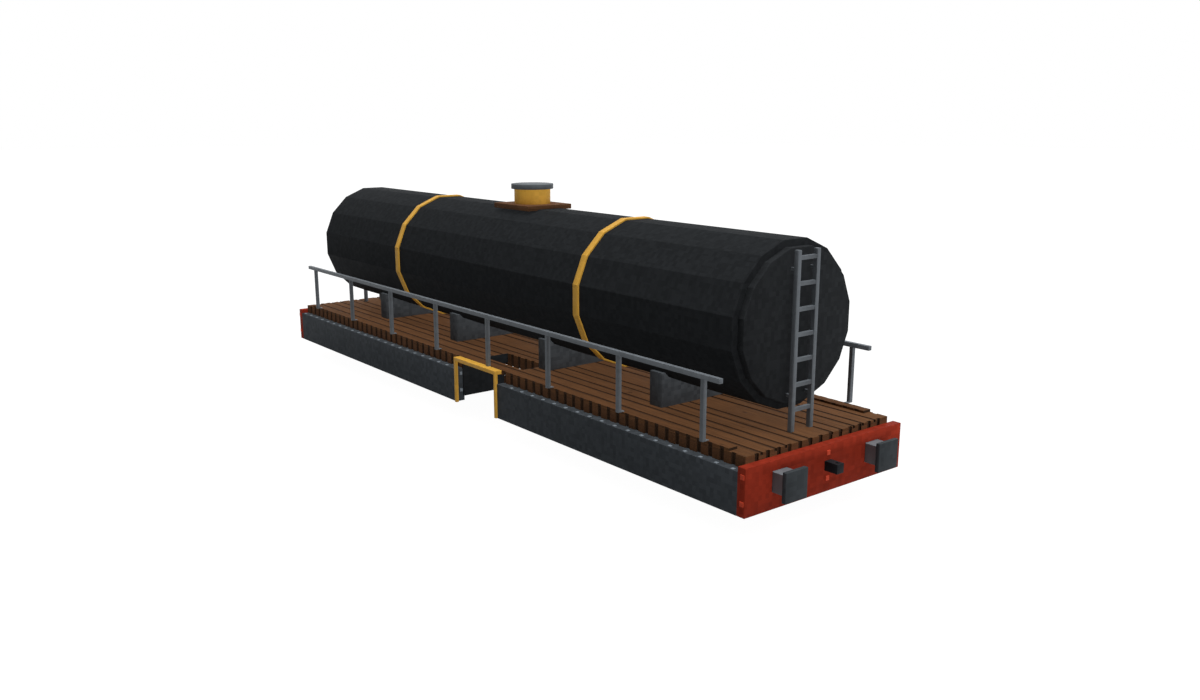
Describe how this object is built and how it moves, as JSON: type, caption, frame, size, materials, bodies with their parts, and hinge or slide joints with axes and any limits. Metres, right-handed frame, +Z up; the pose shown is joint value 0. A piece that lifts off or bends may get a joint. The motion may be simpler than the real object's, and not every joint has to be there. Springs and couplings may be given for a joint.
{
  "type": "railway tank car",
  "caption": "Bogie tank wagon with a faceted black tank on saddles, planked deck, side railings, end ladders, red end beams, square buffers and a hinged manhole lid.",
  "frame": {"origin": "middle of the wagon, on the plane that the wheel flanges touch", "axes": "+X towards the front end, +Y to the left side, +Z up"},
  "size_m": [13.53, 3.062, 3.902],
  "materials": {
    "tank_black": "satin, weathered",
    "slate": "matt, weathered",
    "signal_red": "matt, weathered",
    "signal_yellow": "satin, worn",
    "timber": "bare, weathered",
    "dark_timber": "bare, weathered",
    "rail_grey": "satin",
    "head_grey": "worn",
    "ram_grey": "greased",
    "wheel_steel": "rusted, tread bright"
  },
  "bodies": {
    "wagon": {"end_beams": "signal_red", "side_sills_right": "slate", "side_sills_left": "slate", "centre_sills": "slate", "cross_bearers": "slate", "body_bolsters": "slate", "recess_walls": "tank_black", "hatch_trimmers": "dark_timber", "deck_baulks": "dark_timber", "deck_boards": "timber", "walkways": "timber", "railing_right": "rail_grey", "railing_left": "rail_grey", "hoops": "signal_yellow", "outer_saddles": "slate", "inner_saddles": "slate", "tank_barrel": "tank_black", "tank_ends": "tank_black", "tank_bands": "signal_yellow", "manhole_neck": "signal_yellow", "manhole_platform": "timber", "bottom_outlet": "signal_yellow", "ladder_front": "rail_grey", "ladder_rear": "rail_grey", "buffer_guides": "slate", "couplers": "tank_black"},
    "manhole_lid": {"manhole_lid": "rail_grey"},
    "buffer_front_right": {"buffer_front_right": "ram_grey"},
    "buffer_front_left": {"buffer_front_left": "ram_grey"},
    "buffer_rear_right": {"buffer_rear_right": "ram_grey"},
    "buffer_rear_left": {"buffer_rear_left": "ram_grey"},
    "bogie_front": {"bogie_frame_front": "slate", "axle_boxes_front": "slate", "springs_front": "wheel_steel"},
    "bogie_rear": {"bogie_frame_rear": "slate", "axle_boxes_rear": "slate", "springs_rear": "wheel_steel"},
    "wheelset_1": {"wheels_1": "wheel_steel", "axle_1": "wheel_steel"},
    "wheelset_2": {"wheels_2": "wheel_steel", "axle_2": "wheel_steel"},
    "wheelset_3": {"wheels_3": "wheel_steel", "axle_3": "wheel_steel"},
    "wheelset_4": {"wheels_4": "wheel_steel", "axle_4": "wheel_steel"}
  },
  "joints": [
    {"name": "lid_hinge", "type": "hinge", "parent": "wagon", "child": "manhole_lid", "pos_m": [-0.323, 0, 3.862], "axis": [0, -1, 0], "range_deg": [0, 105]},
    {"name": "buffer_front_right_slide", "type": "slide", "parent": "wagon", "child": "buffer_front_right", "axis": [-1, 0, 0], "range_m": [0, 0.1], "stiffness_N_per_m": 50000, "springref_m": -0.02},
    {"name": "buffer_front_left_slide", "type": "slide", "parent": "wagon", "child": "buffer_front_left", "axis": [-1, 0, 0], "range_m": [0, 0.1], "stiffness_N_per_m": 50000, "springref_m": -0.02},
    {"name": "buffer_rear_right_slide", "type": "slide", "parent": "wagon", "child": "buffer_rear_right", "axis": [1, 0, 0], "range_m": [0, 0.1], "stiffness_N_per_m": 50000, "springref_m": -0.02},
    {"name": "buffer_rear_left_slide", "type": "slide", "parent": "wagon", "child": "buffer_rear_left", "axis": [1, 0, 0], "range_m": [0, 0.1], "stiffness_N_per_m": 50000, "springref_m": -0.02},
    {"name": "bogie_front_swivel", "type": "hinge", "parent": "wagon", "child": "bogie_front", "pos_m": [4.062, 0, 0.65], "axis": [0, 0, 1], "range_deg": [-5, 5]},
    {"name": "bogie_rear_swivel", "type": "hinge", "parent": "wagon", "child": "bogie_rear", "pos_m": [-4.062, 0, 0.65], "axis": [0, 0, 1], "range_deg": [-5, 5]},
    {"name": "wheelset_1_roll", "type": "hinge", "parent": "bogie_front", "child": "wheelset_1", "pos_m": [4.962, 0, 0.368], "axis": [0, 1, 0], "continuous": true},
    {"name": "wheelset_2_roll", "type": "hinge", "parent": "bogie_front", "child": "wheelset_2", "pos_m": [3.162, 0, 0.368], "axis": [0, 1, 0], "continuous": true},
    {"name": "wheelset_3_roll", "type": "hinge", "parent": "bogie_rear", "child": "wheelset_3", "pos_m": [-3.162, 0, 0.368], "axis": [0, 1, 0], "continuous": true},
    {"name": "wheelset_4_roll", "type": "hinge", "parent": "bogie_rear", "child": "wheelset_4", "pos_m": [-4.962, 0, 0.368], "axis": [0, 1, 0], "continuous": true}
  ]
}
